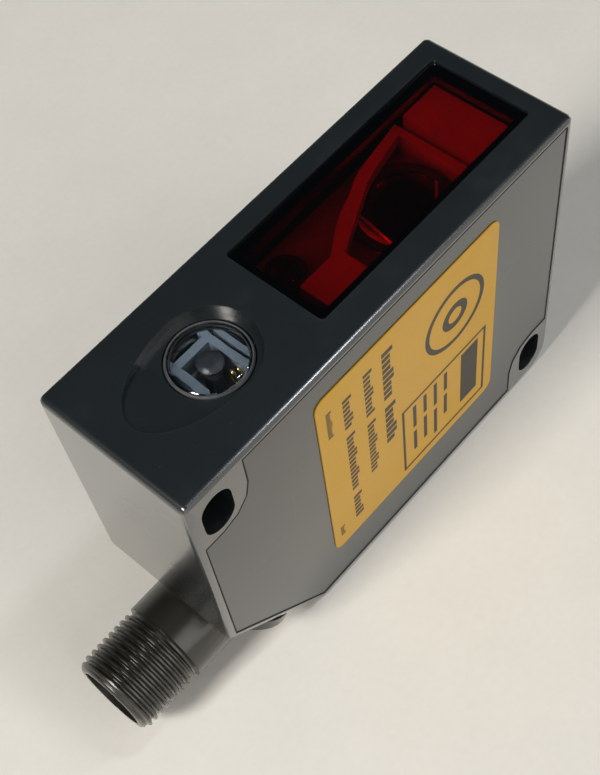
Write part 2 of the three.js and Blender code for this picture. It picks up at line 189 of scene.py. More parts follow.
def object_place(tree):
    """Each point's place in the shared frame."""
    return node(tree, "ShaderNodeTexCoord").outputs["Object"]


def split_axes(tree, vector):
    """The X, Y and Z of a vector."""
    split = node(tree, "ShaderNodeSeparateXYZ")
    tree.links.new(vector, split.inputs[0])
    return split.outputs


def noise(tree, where, scale, detail, roughness=0.55):
    """A noise that swings about 0.5; the scale may be a number or a socket."""
    made = node(tree, "ShaderNodeTexNoise", {"Detail": detail, "Roughness": roughness})
    feed(tree, scale, made.inputs["Scale"])
    tree.links.new(where, made.inputs["Vector"])
    return made.outputs["Fac"]


def remap(tree, source, low, high, to_low=0.0, to_high=1.0, smooth=False):
    """Stretches a range of values onto another one, and clamps what lies outside."""
    made = node(tree, "ShaderNodeMapRange", {
        "From Min": low, "From Max": high, "To Min": to_low, "To Max": to_high})
    if smooth:
        made.interpolation_type = "SMOOTHSTEP"
    tree.links.new(source, made.inputs["Value"])
    return made.outputs["Result"]


def swing(tree, source):
    """Stretches a noise so that it runs from -1 to 1."""
    return remap(tree, source, 0.3, 0.7, -1.0, 1.0)


def maths(tree, operation, a, b=0.0):
    """One arithmetic step on two numbers or sockets."""
    made = node(tree, "ShaderNodeMath", operation=operation)
    feed(tree, a, made.inputs[0])
    feed(tree, b, made.inputs[1])
    return made.outputs[0]


def mix_colour(tree, factor, a, b):
    """Colour a where the factor is 0 and colour b where it is 1."""
    made = node(tree, "ShaderNodeMix", data_type="RGBA")
    factor_socket, a_socket, b_socket, colour_output = 0, 6, 7, 2
    for index, value in ((factor_socket, factor), (a_socket, a), (b_socket, b)):
        feed(tree, value, made.inputs[index])
    return made.outputs[colour_output]


def grain_group():
    """Colour drift, roughness and height of a fine cast or moulded grain."""
    group, start, end = new_group("fine_grain", [
        ("Colour", "NodeSocketColor", (0.5, 0.5, 0.5, 1)),
        ("Drift", "NodeSocketFloat", 0.15),
        ("Grain Scale", "NodeSocketFloat", 4000),
        ("Roughness", "NodeSocketFloat", 0.4),
        ("Spread", "NodeSocketFloat", 0.08),
    ], [
        ("Colour", "NodeSocketColor"),
        ("Roughness", "NodeSocketFloat"),
        ("Height", "NodeSocketFloat"),
    ])
    where = object_place(group)
    fine = noise(group, where, start.outputs["Grain Scale"], detail=3, roughness=0.6)
    cloud = noise(group, where, scale=90.0, detail=4, roughness=0.6)
    broad = noise(group, where, scale=35.0, detail=2, roughness=0.5)
    fine_share, cloud_share = 0.45, 0.55
    both = maths(group, "ADD", maths(group, "MULTIPLY", fine, fine_share),
                 maths(group, "MULTIPLY", cloud, cloud_share))
    drift = maths(group, "MULTIPLY", swing(group, both), start.outputs["Drift"])
    light = maths(group, "ADD", drift, 1.0)
    scaled = node(group, "ShaderNodeVectorMath", operation="SCALE")
    spread = maths(group, "MULTIPLY", swing(group, broad), start.outputs["Spread"])
    rough = maths(group, "ADD", start.outputs["Roughness"], spread)
    wire(group,
         (start.outputs["Colour"], scaled.inputs[0]), (light, scaled.inputs["Scale"]),
         (scaled.outputs[0], end.inputs["Colour"]), (rough, end.inputs["Roughness"]),
         (fine, end.inputs["Height"]))
    return group


def wear_group():
    """Mask of rubbed edges: where the rounded normal leaves the flat one, broken up by noise."""
    group, start, end = new_group("edge_wear", [
        ("Width", "NodeSocketFloat", 0.0004),
        ("Amount", "NodeSocketFloat", 0.5),
    ], [("Mask", "NodeSocketFloat")])
    geometry = node(group, "ShaderNodeNewGeometry")
    bevel = node(group, "ShaderNodeBevel", samples=4)
    dot = node(group, "ShaderNodeVectorMath", operation="DOT_PRODUCT")
    wire(group,
         (start.outputs["Width"], bevel.inputs["Radius"]),
         (bevel.outputs["Normal"], dot.inputs[0]),
         (geometry.outputs["True Normal"], dot.inputs[1]))
    edge = remap(group, dot.outputs["Value"], 0.70, 0.98, 1.0, 0.0)
    scratches = noise(group, object_place(group), scale=420.0, detail=4, roughness=0.7)
    patch = remap(group, scratches, 0.42, 0.66, smooth=True)
    worn = maths(group, "MULTIPLY", edge, patch)
    wire(group, (maths(group, "MULTIPLY", worn, start.outputs["Amount"]), end.inputs["Mask"]))
    return group


def dust_group():
    """Mask of small dust specks and faint smears, thickest on faces that look up."""
    group, start, end = new_group("settled_dust", [
        ("Amount", "NodeSocketFloat", 0.5),
    ], [("Mask", "NodeSocketFloat")])
    where = object_place(group)
    cells = node(group, "ShaderNodeTexVoronoi", {"Scale": 520.0, "Randomness": 1.0})
    group.links.new(where, cells.inputs["Vector"])
    specks = remap(group, cells.outputs["Distance"], 0.03, 0.07, 1.0, 0.0)
    chosen = remap(group, noise(group, where, scale=130.0, detail=2), 0.60, 0.64)
    film = noise(group, where, scale=48.0, detail=5, roughness=0.65)
    smear = remap(group, film, 0.5, 0.78, 0.0, 0.30, smooth=True)
    normal = node(group, "ShaderNodeNewGeometry").outputs["Normal"]
    facing = remap(group, split_axes(group, normal)["Z"], 0.2, 0.9, 0.25, 1.0)
    both = maths(group, "ADD", maths(group, "MULTIPLY", specks, chosen), smear)
    lying = maths(group, "MULTIPLY", both, facing)
    wire(group, (maths(group, "MULTIPLY", lying, start.outputs["Amount"]), end.inputs["Mask"]))
    return group


GROUP_MAKERS = {"fine_grain": grain_group, "edge_wear": wear_group, "settled_dust": dust_group}
GROUPS = {}


def group_node(tree, name, **values):
    """A shared group placed in a material, built the first time that it is asked for."""
    if name not in GROUPS:
        GROUPS[name] = GROUP_MAKERS[name]()
    made = tree.nodes.new("ShaderNodeGroup")
    made.node_tree = GROUPS[name]
    for key, value in values.items():
        made.inputs[key.replace("_", " ").title()].default_value = value
    return made


# ---- materials ---------------------------------------------------------------

def rgba(colour):
    """A colour with full alpha."""
    return (*colour, 1.0)


def new_material(name):
    """A new node material, its tree and its Principled shader."""
    material = bpy.data.materials.new(name)
    material.use_nodes = True
    tree = material.node_tree
    return material, tree, tree.nodes["Principled BSDF"]


def finish(name, colour, roughness, metallic=0.0, drift=0.15, grain=4000.0, depth=0.01 * MM,
           spread=0.06, ior=1.5, coat=0.0, coat_roughness=0.1, wear=0.0,
           wear_colour=(0.3, 0.3, 0.3), wear_width=0.4 * MM, dust=0.0):
    """An opaque finish: grain, optional rubbed edges and dust over one Principled shader."""
    material, tree, shader = new_material(name)
    shader.inputs["Metallic"].default_value = metallic
    shader.inputs["IOR"].default_value = ior
    shader.inputs["Coat Weight"].default_value = coat
    shader.inputs["Coat Roughness"].default_value = coat_roughness
    grained = group_node(tree, "fine_grain", colour=rgba(colour), drift=drift, grain_scale=grain,
                         roughness=roughness, spread=spread)
    base = grained.outputs["Colour"]
    rough = grained.outputs["Roughness"]
    if wear:
        rubbed = group_node(tree, "edge_wear", width=wear_width, amount=wear)
        base = mix_colour(tree, rubbed.outputs["Mask"], base, rgba(wear_colour))
    if dust:
        settled = group_node(tree, "settled_dust", amount=dust).outputs["Mask"]
        base = mix_colour(tree, settled, base, rgba(DUST_COLOUR))
        rough = maths(tree, "ADD", rough, maths(tree, "MULTIPLY", settled, 0.3))
    bump = node(tree, "ShaderNodeBump", {"Strength": 0.6, "Distance": depth})
    wire(tree,
         (base, shader.inputs["Base Color"]), (rough, shader.inputs["Roughness"]),
         (grained.outputs["Height"], bump.inputs["Height"]),
         (bump.outputs["Normal"], shader.inputs["Normal"]))
    return material


def clear(name, colour, roughness, ior, shade, smear):
    """A clear or tinted solid that lets light through to what is behind it."""
    material, tree, shader = new_material(name)
    shader.inputs["Metallic"].default_value = 0.0
    shader.inputs["Transmission Weight"].default_value = 1.0
    shader.inputs["IOR"].default_value = ior
    haze = noise(tree, object_place(tree), scale=160.0, detail=4, roughness=0.6)
    deeper = [c * 0.88 for c in colour]
    tint = mix_colour(tree, remap(tree, haze, 0.35, 0.65), rgba(colour), rgba(deeper))
    rough = remap(tree, haze, 0.35, 0.75, roughness, roughness + smear)
    open_light = node(tree, "ShaderNodeBsdfTransparent", {"Color": rgba(shade)})
    path = node(tree, "ShaderNodeLightPath")
    mixed = node(tree, "ShaderNodeMixShader")
    output = tree.nodes["Material Output"]
    wire(tree,
         (tint, shader.inputs["Base Color"]), (rough, shader.inputs["Roughness"]),
         (path.outputs["Is Shadow Ray"], mixed.inputs[0]), (shader.outputs[0], mixed.inputs[1]),
         (open_light.outputs[0], mixed.inputs[2]), (mixed.outputs[0], output.inputs["Surface"]))
    return material


def paint_shade_into(material, dark, mask_maker):
    """Blackens a finish where the mask is 0, as painted shade; mask_maker builds it from the tree and
    the X, Y and Z.
    """
    tree = material.node_tree
    target = tree.nodes["Principled BSDF"].inputs["Base Color"]
    source = target.links[0].from_socket
    mask = mask_maker(tree, split_axes(tree, object_place(tree)))
    tree.links.new(mix_colour(tree, mask, rgba(dark), source), target)


def painted_shade_by_height(material, low, high, dark):
    """Blackens a finish below a height, as painted shade on the deep part of a piece that sits low
    inside the housing.
    """
    paint_shade_into(material, dark, lambda tree, axes: remap(tree, axes["Z"], low, high, smooth=True))


def painted_shade_border(material, low, high, width):
    """Blackens the rim of a pane inside its four edges, as painted shade over the gap and ledge under
    the pane's edge.
    """
    def inside(tree, axes):
        parts = []
        for axis in range(2):
            middle = (low[axis] + high[axis]) / 2
            half = (high[axis] - low[axis]) / 2
            away = maths(tree, "ABSOLUTE", maths(tree, "SUBTRACT", axes[axis], middle))
            parts.append(remap(tree, away, half - width, half - width * 0.8, 1.0, 0.0))
        return maths(tree, "MULTIPLY", *parts)

    paint_shade_into(material, (0.0, 0.0, 0.0), inside)


def give(material, *names):
    """Puts one material on CAD nodes, with smooth faces between sharp edges."""
    for name in names:
        piece = NODES[name]
        piece.data.materials.clear()
        piece.data.materials.append(material)
        soften(piece)


def shade_smooth(mesh):
    """Turns smooth shading on for every face."""
    mesh.polygons.foreach_set("use_smooth", [True] * len(mesh.polygons))


def soften(piece):
    """Shades a CAD piece smoothly between its real edges, without moving any of its points."""
    mesh = piece.data
    custom = mesh.attributes.get("custom_normal")
    if custom:
        mesh.attributes.remove(custom)
    shade_smooth(mesh)
    weld = piece.modifiers.new("close_seams", "WELD")
    weld.merge_threshold = WELD_DISTANCE
    split = piece.modifiers.new("sharp_edges", "EDGE_SPLIT")
    split.split_angle = math.radians(EDGE_ANGLE)
    split.use_edge_sharp = False
    flatten = piece.modifiers.new("flat_faces", "WEIGHTED_NORMAL")
    flatten.weight = 50
    flatten.keep_sharp = True


# ---- mesh makers ---------------------------------------------------------------

def place_piece(name, data, material, body):
    """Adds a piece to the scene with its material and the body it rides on."""
    data.materials.append(material)
    made = bpy.data.objects.new(name, data)
    bpy.context.scene.collection.objects.link(made)
    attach(made, body)
    return made


def mesh_object(name, points, faces, material, body, sharp=EDGE_ANGLE):
    """A closed piece from points and faces, smooth between edges sharper than the angle."""
    mesh = bpy.data.meshes.new(name)
    mesh.from_pydata([tuple(p) for p in points], [], faces)
    mesh.validate()
    solid = bmesh.new()
    solid.from_mesh(mesh)
    bmesh.ops.recalc_face_normals(solid, faces=solid.faces)
    solid.to_mesh(mesh)
    solid.free()
    shade_smooth(mesh)
    mesh.set_sharp_from_angle(angle=math.radians(sharp))
    mesh.update()
    return place_piece(name, mesh, material, body)


def beside(radius, z, *steps):
    """Profile points that stand the given millimetres outward and upward of one radius and height."""
    return [(radius + outward * MM, z + upward * MM) for outward, upward in steps]


def turned_piece(name, middle, profile, material, body, closed=False):
    """A solid of revolution about a vertical axis; its profile ends on the axis unless closed."""
    around = 72
    points, faces, rings = [], [], []
    for radius, z in profile:
        if radius == 0:
            rings.append([len(points)])
            points.append(Vector((middle[0], middle[1], z)))
            continue
        rings.append(list(range(len(points), len(points) + around)))
        for i in range(around):
            turn = 2 * math.pi * i / around
            points.append(Vector((middle[0] + radius * math.cos(turn),
                                  middle[1] + radius * math.sin(turn), z)))
    pairs = list(zip(rings, rings[1:]))
    if closed:
        pairs.append((rings[-1], rings[0]))
    for lower, upper in pairs:
        for i in range(around):
            j = (i + 1) % around
            if len(lower) == 1:
                faces.append((lower[0], upper[j], upper[i]))
            elif len(upper) == 1:
                faces.append((lower[i], lower[j], upper[0]))
            else:
                faces.append((lower[i], lower[j], upper[j], upper[i]))
    return mesh_object(name, points, faces, material, body, sharp=40.0)


def swept_piece(name, path, radius, material, body):
    """A round wire along a path, closed at both ends."""
    sides = 10
    points, faces = [], []
    count = len(path)
    for i, place in enumerate(path):
        ahead = (path[min(i + 1, count - 1)] - path[max(i - 1, 0)]).normalized()
        across = ahead.cross(Vector((0, 0, 1))).normalized()
        over = across.cross(ahead)
        for j in range(sides):
            turn = 2 * math.pi * j / sides
            points.append(place + radius * (math.cos(turn) * across + math.sin(turn) * over))
    for i in range(count - 1):
        for j in range(sides):
            k = (j + 1) % sides
            here, there = i * sides, (i + 1) * sides
            faces.append((here + j, here + k, there + k, there + j))
    faces.append(list(range(sides)))
    faces.append(list(range((count - 1) * sides, count * sides)))
    return mesh_object(name, points, faces, material, body, sharp=50.0)


def slab(points, faces, outline, y_front, y_back):
    """Adds one closed thin plate, drawn in X and Z and as thick as the two Y values say."""
    first = len(points)
    count = len(outline)
    for y in (y_front, y_back):
        points.extend(Vector((x, y, z)) for x, z in outline)
    faces.append(list(range(first, first + count)))
    faces.append(list(range(first + 2 * count - 1, first + count - 1, -1)))
    for i in range(count):
        j = (i + 1) % count
        faces.append((first + j, first + i, first + count + i, first + count + j))


def rectangle(x0, x1, z0, z1):
    """Outline of a rectangle in X and Z."""
    return [(x0, z0), (x1, z0), (x1, z1), (x0, z1)]


def bar(x, z, across, along):
    """Outline of a bar whose long side runs along Z, going down from z."""
    return rectangle(x - across / 2, x + across / 2, z - along, z)


def outline_band(points, faces, outer, inner, y_front, y_back):
    """Adds a closed band between two outlines with the same number of corners."""
    first = len(points)
    count = len(outer)
    for y in (y_front, y_back):
        for outline in (outer, inner):
            points.extend(Vector((x, y, z)) for x, z in outline)
    front, back = first, first + 2 * count
    for i in range(count):
        j = (i + 1) % count
        faces.append((front + i, front + j, front + count + j, front + count + i))
        faces.append((back + j, back + i, back + count + i, back + count + j))
        faces.append((front + j, front + i, back + i, back + j))
        faces.append((front + count + i, front + count + j, back + count + j, back + count + i))


def circle(x, z, radius):
    """Outline of a circle in X and Z."""
    count = 48
    turn = 2 * math.pi / count
    return [(x + radius * math.cos(i * turn), z + radius * math.sin(i * turn)) for i in range(count)]


def front_rim(mesh, deepest):
    """The points round the edge of a mesh's front face, in order, given how deep in Y it may lie."""
    solid = bmesh.new()
    solid.from_mesh(mesh)
    bmesh.ops.remove_doubles(solid, verts=solid.verts, dist=WELD_DISTANCE)
    front = {face for face in solid.faces
             if face.normal.y < -0.9 and face.calc_center_median().y < deepest}
    neighbours = {}
    for edge in solid.edges:
        if sum(face in front for face in edge.link_faces) == 1:
            first, second = edge.verts
            neighbours.setdefault(first, []).append(second)
            neighbours.setdefault(second, []).append(first)
    start = max(neighbours, key=lambda point: point.co.z - point.co.x)
    loop, ahead = [start], neighbours[start][0]
    while ahead is not start:
        last = loop[-1]
        loop.append(ahead)
        ahead = next(point for point in neighbours[ahead] if point is not last)
    places = [point.co.copy() for point in loop]
    solid.free()
    return places


# ---- operators -----------------------------------------------------------------

class SENSOR_OT_housing(bpy.types.Operator):
    """Paint the casting and its cover, and darken the seam between them"""

    bl_idname = "sensor.housing"
    bl_label = "Housing and cover"

    def execute(self, context):
        colours = settings().colours
        paint = finish("housing_paint", colours.paint, 0.26, drift=0.22, grain=5200.0, spread=0.05,
                       ior=1.75, coat=0.9, coat_roughness=0.16, wear=0.14,
                       wear_colour=RUBBED_PAINT, wear_width=0.5 * MM, dust=0.10)
        cover = finish("cover_paint", [c * 1.15 for c in colours.paint], 0.27, drift=0.20,
                       grain=4700.0, spread=0.05, ior=1.55, coat=0.5, coat_roughness=0.2,
                       wear=0.14, wear_colour=RUBBED_PAINT, dust=0.10)
        rubber = finish("seal_rubber", (0.006, 0.006, 0.007), 0.75, drift=0.3, grain=3000.0,
                        depth=0.02 * MM)
        give(paint, "housing")
        give(cover, "side_cover")
        give(rubber, "cover_seal", "window_seal", "button_seal", "swivel_seal")
        self.seam(rubber)
        return {"FINISHED"}

    @staticmethod
    def seam(rubber):
        """A thin bead of seal that shows all round the edge of the cover."""
        bead_radius = 0.17 * MM
        outside_edge = 0.12 * MM
        below_face = 0.06 * MM
        face_depth = 0.3 * MM
        low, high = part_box("side_cover")
        middle = (low + high) / 2
        places = front_rim(NODES["side_cover"].data, low.y + face_depth)
        curve = bpy.data.curves.new("cover_seam", "CURVE")
        curve.dimensions = "3D"
        curve.bevel_depth = bead_radius
        curve.bevel_resolution = 2
        line = curve.splines.new("POLY")
        line.points.add(len(places) - 1)
        for point, place in zip(line.points, places):
            outward = Vector((place.x - middle.x, 0, place.z - middle.z)).normalized() * outside_edge
            point.co = (place.x + outward.x, low.y + below_face, place.z + outward.z, 1)
        line.use_cyclic_u = True
        place_piece("cover_seam", curve, rubber, "sensor_body")


class SENSOR_OT_window(bpy.types.Operator):
    """Glaze the window and finish the optics behind it"""

    bl_idname = "sensor.window"
    bl_label = "Window and optics"

    # name, direction from the lens axis in degrees, distance from it in millimetres
    CLIPS = (("lens_clip_left", 172.0, 4.9), ("lens_clip_right", 310.0, 3.9))
    # painted shade: the carrier is blackened below the first height, where it lies deep in the housing,
    # and keeps its light colour above the second
    CARRIER_PAINTED_SHADE = (41.2 * MM, 45.4 * MM)
    # width of the painted shade round the rim of the red pane
    SHADE_RIM_WIDTH = 0.95 * MM

    def execute(self, context):
        red = clear("window_filter", settings().colours.filter, roughness=0.02, ior=1.5,
                    shade=(0.60, 0.012, 0.010), smear=0.03)
        # painted shade: the rim of the red pane is blackened to stand for the shade at its edges
        painted_shade_border(red, *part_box("window_pane"), self.SHADE_RIM_WIDTH)
        lens = clear("lens_glass", (0.92, 0.95, 0.96), roughness=0.01, ior=1.6,
                     shade=(0.8, 0.8, 0.8), smear=0.02)
        carrier = finish("carrier_plastic", (0.34, 0.335, 0.32), 0.38, drift=0.12, grain=2600.0,
                         depth=0.03 * MM, wear=0.25, wear_colour=(0.8, 0.8, 0.8))
        # painted shade: the low part of the carrier, deep behind the window, is darkened
        painted_shade_by_height(carrier, *self.CARRIER_PAINTED_SHADE, (0.09, 0.088, 0.085))
        black = finish("black_plastic", (0.016, 0.016, 0.017), 0.4, drift=0.25, grain=2600.0,
                       depth=0.02 * MM, wear=0.3, wear_colour=(0.12, 0.12, 0.12))
        barrel = finish("barrel_metal", (0.05, 0.05, 0.055), 0.32, metallic=0.8, grain=3000.0)
        steel = finish("clip_steel", (0.85, 0.85, 0.86), 0.36, metallic=1.0, drift=0.1,
                       grain=5000.0)
        give(red, "window_pane")
        give(lens, "receiver_lens", "emitter_lens")
        give(carrier, "optics_carrier")
        give(black, "lens_ring", "connector_insert")
        give(barrel, "laser_barrel")
        for name, turn, distance in self.CLIPS:
            self.clip(name, math.radians(turn), distance * MM, steel)
        return {"FINISHED"}

    @staticmethod
    def clip(name, turn, distance, metal):
        """A fine polished spring that lies on the lens, following its dome."""
        half_span = 0.62
        bow = 0.9 * MM
        dome_radius = 6.3 * MM
        dome_height = 2.1 * MM
        lift = 0.24 * MM
        wire_radius = 0.2 * MM
        steps = 22
        low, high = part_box("receiver_lens")
        middle = (low + high) / 2
        path = []
        for i in range(steps + 1):
            part = i / steps * 2 - 1
            angle = turn + part * half_span
            reach = distance + bow * part * part
            drop = dome_height * (1 - math.sqrt(max(0.0, 1 - (reach / dome_radius) ** 2)))
            path.append(Vector((middle.x + reach * math.cos(angle),
                                middle.y + reach * math.sin(angle), high.z - drop + lift)))
        swept_piece(name, path, wire_radius, metal, "sensor_body")


class SENSOR_OT_button(bpy.types.Operator):
    """Make the clear button cap, its rim and plunger, and the springs under it"""

    bl_idname = "sensor.button"
    bl_label = "Teach button"

    # name, distance from the middle of the frame and height of the arch, in millimetres
    SPRINGS = (("contact_spring_gold", 0.35, 2.15), ("contact_spring_steel", 1.15, 1.85))

    def execute(self, context):
        clear_plastic = clear("button_clear", (0.86, 0.9, 0.93), roughness=0.03, ior=1.45,
                              shade=(0.85, 0.87, 0.9), smear=0.05)
        grey = finish("frame_grey", (0.075, 0.092, 0.110), 0.5, drift=0.25, grain=2600.0,
                      depth=0.03 * MM, wear=0.3, wear_colour=(0.16, 0.19, 0.22))
        dark = finish("plunger_rubber", (0.012, 0.013, 0.015), 0.3, drift=0.3, grain=3000.0,
                      depth=0.02 * MM)
        rim = finish("cap_rim", (0.06, 0.066, 0.070), 0.3, drift=0.3, grain=2600.0, wear=0.5,
                     wear_colour=(0.2, 0.21, 0.215), coat=0.5)
        gold = finish("clip_gold", (0.85, 0.58, 0.22), 0.16, metallic=1.0, drift=0.15,
                      grain=5000.0)
        give(grey, "indicator_frame")
        for name, aside, arch in self.SPRINGS:
            self.spring(name, aside * MM, arch * MM, gold)
        self.cap(clear_plastic, rim, dark)
        return {"FINISHED"}

    @staticmethod
    def spring(name, aside, arch, metal):
        """A gold contact that arches up inside the grey frame."""
        steps = 12
        wire_radius = 0.2 * MM
        foot_depth = 2.6 * MM
        low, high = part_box("indicator_frame")
        x = ((low + high) / 2).x + aside
        path = []
        for i in range(steps + 1):
            part = i / steps
            below_top = foot_depth - arch * math.sin(math.pi * part)
            path.append(Vector((x + 0.5 * MM * part, low.y + (1.0 + 1.5 * part) * MM,
                                high.z - below_top)))
        swept_piece(name, path, wire_radius, metal, "sensor_body")

    @staticmethod
    def cap(clear_plastic, rim, dark):
        """The hollow clear cap, the rim set in its edge and the plunger under its top."""
        low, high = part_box("teach_button")
        middle = ((low.x + high.x) / 2, (low.y + high.y) / 2)
        outer = (high.x - low.x) / 2
        wall = outer - 0.45 * MM
        foot, top = low.z, high.z
        cap = turned_piece("button_cap", middle, [
            *beside(0, top, (0, -0.75)),
            *beside(wall, top, (-0.75, -0.75), (-0.62, -0.9)),
            *beside(wall, foot, (-0.6, 0)),
            *beside(outer, foot, (0, 0), (0, 0.85)),
            *beside(wall, foot, (-0.12, 0.9)),
            *beside(wall, top, (-0.12, -0.75), (-0.35, -0.42), (-0.9, -0.2), (-2.2, -0.05)),
            *beside(0, top, (0, 0)),
        ], clear_plastic, "button")
        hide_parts("teach_button")
        turned_piece("button_rim", middle, [
            *beside(wall, foot, (-0.10, 1.0), (0, 1.0)),
            *beside(wall, top, (0, -0.5), (-0.14, -0.34), (-0.30, -0.36), (-0.10, -0.70)),
        ], rim, "button", closed=True)
        turned_piece("button_plunger", middle, [
            *beside(0, foot, (0, 0.65), (0.7, 0.65), (0.8, 0.8)),
            *beside(0, top, (0.8, -1.9), (1.5, -1.75), (1.55, -1.4), (1.2, -1.05), (0.7, -0.9),
                    (0, -0.84)),
        ], dark, "button")


class SENSOR_OT_electronics(bpy.types.Operator):
    """Finish the boards, chips, contacts and loom inside the housing"""

    bl_idname = "sensor.electronics"
    bl_label = "Electronics"

    def execute(self, context):
        gold = finish("contact_gold", (0.78, 0.52, 0.18), 0.28, metallic=1.0, drift=0.1,
                      grain=6000.0, depth=0.004 * MM)
        chip = finish("chip_plastic", (0.014, 0.014, 0.016), 0.4, drift=0.3, grain=6000.0)
        board = finish("board_green", (0.012, 0.085, 0.035), 0.3, drift=0.25, grain=1500.0,
                       coat=0.3)
        flex = finish("flex_film", (0.42, 0.18, 0.04), 0.3, grain=1500.0, coat=0.3)
        header = finish("header_plastic", (0.7, 0.68, 0.58), 0.45, drift=0.08, grain=2600.0)
        loom = finish("loom_sleeve", (0.16, 0.09, 0.04), 0.7, drift=0.3, grain=1800.0,
                      depth=0.05 * MM)
        steel = finish("spring_steel", (0.5, 0.51, 0.53), 0.3, metallic=1.0, drift=0.1,
                       grain=5000.0)
        give(gold, "laser_diode", "status_led_ready", *(f"contact_pin_{i}" for i in range(1, 6)))
        give(chip, "image_sensor", "processor_chip", "memory_chip", "power_inductor", "tact_switch")
        give(board, "detector_board", "main_board", "button_board")
        give(flex, "detector_flex", "filter_capacitor")
        give(header, "loom_header", "status_led_output")
        give(loom, "wire_loom")
        give(steel, "swivel_retainer")
        return {"FINISHED"}


class SENSOR_OT_label(bpy.types.Operator):
    """Lay the printed film and its plain marks on the cover"""

    bl_idname = "sensor.label"
    bl_label = "Label"

    # all in millimetres: distance from the near edge, height across the row, top above the foot,
    # lengths of its groups, and the gap between blocks
    ROWS = (
        (11.9, 1.9, 33.3, (10.2, 8.6), 0.34),
        (8.5, 1.5, 32.9, (9.4, 12.0), 0.36),
        (4.9, 1.5, 32.1, (6.6, 13.4, 6.0), 0.36),
        (1.9, 0.9, 32.8, (5.6,), 0.24),
        (1.6, 0.8, 4.9, (2.4,), 0.22),
    )
    RING_AT = (24.2, 26.0)
    PANEL_ACROSS = (13.9, 30.6)
    PANEL_UP = (1.6, 16.6)

    def execute(self, context):
        colours = settings().colours
        sizes = settings().sizes
        film = finish("label_film", colours.label, 0.42, drift=0.06, grain=2400.0,
                      depth=0.006 * MM, spread=0.08, dust=0.10)
        ink = finish("label_ink", colours.ink, 0.5, drift=0.25, grain=3000.0, depth=0.004 * MM)
        give(film, "label")
        thickness = (LABEL_LOW.y - sizes.print_proud, LABEL_LOW.y + 0.01 * MM)
        points, faces = [], []
        for x, height, top, groups, gap in self.ROWS:
            self.words(points, faces, LABEL_LOW.x + x * MM, height * MM, LABEL_LOW.z + top * MM,
                       groups, gap * MM, thickness)
        self.ring(points, faces, sizes.ring_radius, thickness)
        self.panel(points, faces, thickness)
        mesh_object("label_print", points, faces, ink, "sensor_body")
        return {"FINISHED"}

    @staticmethod
    def words(points, faces, x, height, top, groups, gap, thickness):
        """Groups of plain blocks that stand where a row of print would, tall ones among short."""
        pitch_share = 0.62
        short_share = 0.74
        space = 1.5
        z = top
        for length in groups:
            count = max(2, round(length * MM / (height * pitch_share)))
            step = length * MM / count
            for i in range(count):
                tall = height if (i * 7) % 5 in (0, 3) else height * short_share
                shift = (tall - height) / 2
                slab(points, faces, bar(x + shift, z - i * step, tall, step - gap), *thickness)
            z -= (length + space) * MM

    @classmethod
    def ring(cls, points, faces, radius, thickness):
        """A plain ring with a smaller one at its middle."""
        x, z = LABEL_LOW.x + cls.RING_AT[0] * MM, LABEL_LOW.z + cls.RING_AT[1] * MM
        for outer, inner in ((radius, radius - 0.75 * MM), (radius * 0.42, radius * 0.22)):
            outline_band(points, faces, circle(x, z, outer), circle(x, z, inner), *thickness)

    @classmethod
    def panel(cls, points, faces, thickness):
        """An outlined panel with plain stripes and one dark block."""
        x0, x1 = (LABEL_LOW.x + x * MM for x in cls.PANEL_ACROSS)
        z0, z1 = (LABEL_LOW.z + z * MM for z in cls.PANEL_UP)
        edge = 0.42 * MM
        outline_band(points, faces, rectangle(x0, x1, z0, z1),
                     rectangle(x0 + edge, x1 - edge, z0 + edge, z1 - edge), *thickness)
        first_stripe, stripe_pitch, stripe_width = 2.4, 2.05, 0.62 * MM
        for i in range(4):
            at = x0 + (first_stripe + i * stripe_pitch) * MM
            upper = (1.3, 5.0 - i % 2)
            lower = (7.4 - i % 2, 4.6 + (i % 3) * 0.7)
            for start, length in (upper, lower):
                stripe = bar(at, z1 - start * MM, stripe_width, length * MM)
                slab(points, faces, stripe, *thickness)
        block = bar(x0 + 13.4 * MM, z1 - 1.2 * MM, across=3.4 * MM, along=11.4 * MM)
        slab(points, faces, block, *thickness)


